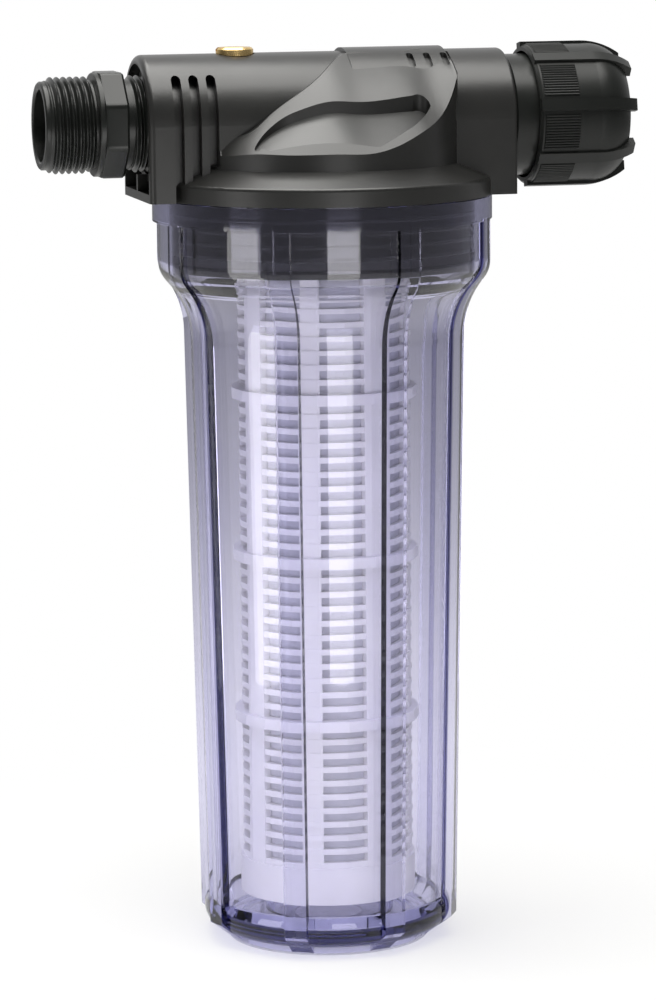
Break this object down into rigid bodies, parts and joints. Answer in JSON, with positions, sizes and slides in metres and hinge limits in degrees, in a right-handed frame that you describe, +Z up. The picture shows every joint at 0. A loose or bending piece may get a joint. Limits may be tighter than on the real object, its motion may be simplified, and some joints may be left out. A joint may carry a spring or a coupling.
{
  "type": "water prefilter housing",
  "caption": "In-line water prefilter: a clear ribbed bowl with a slotted cartridge under a dark head with a threaded inlet nipple, an outlet union nut and a brass vent screw.",
  "frame": {"origin": "centre of the foot of the bowl, on the surface it stands on", "axes": "+Z up along the bowl's axis, +X along the pipe towards the outlet"},
  "size_m": [0.208, 0.1184, 0.3149],
  "materials": {
    "head": "fine grain, satin",
    "fitting": "smooth, half gloss",
    "nut": "smooth, half gloss",
    "bowl": "clear plastic with a violet tint",
    "cage": "milky white, satin",
    "mesh": "fine woven mesh",
    "seal": "dull",
    "steel": "satin",
    "brass": "turned, satin"
  },
  "bodies": {
    "bowl_unit": {"bowl": "bowl", "cartridge_cage": "cage", "mesh_sleeve": "mesh", "cartridge_bottom_cap": "cage", "cartridge_top_cap": "cage", "cartridge_seal": "seal"},
    "seal_ring": {"bowl_seal": "seal"},
    "head_unit": {"filter_head": "head", "inlet_nipple": "fitting", "inlet_seal": "seal", "outlet_neck": "fitting", "outlet_seal": "seal", "retaining_ring": "steel", "union_seal": "seal"},
    "nut": {"union_nut": "nut"},
    "vent_ring": {"vent_washer": "seal"},
    "vent": {"vent_screw": "brass"}
  },
  "joints": [
    {"name": "head_rise", "type": "slide", "parent": "bowl_unit", "child": "seal_ring", "axis": [0, 0, 1], "range_m": [0, 0.0126]},
    {"name": "head_turn", "type": "hinge", "parent": "seal_ring", "child": "head_unit", "pos_m": [0, 0, 0.26], "axis": [0, 0, 1], "range_deg": [0, 900]},
    {"name": "nut_turn", "type": "hinge", "parent": "head_unit", "child": "nut", "pos_m": [0.09, 0, 0.2894], "axis": [1, 0, 0], "continuous": true},
    {"name": "vent_rise", "type": "slide", "parent": "head_unit", "child": "vent_ring", "axis": [0, 0, 1], "range_m": [0, 0.0038]},
    {"name": "vent_turn", "type": "hinge", "parent": "vent_ring", "child": "vent", "pos_m": [-0.0306, 0, 0.31], "axis": [0, 0, 1], "range_deg": [0, 1080]}
  ],
  "couplings": [
    {"joint": "head_rise", "follows": "head_turn", "m_per_rad": 0.00079577},
    {"joint": "vent_rise", "follows": "vent_turn", "m_per_rad": 0.00019894}
  ]
}
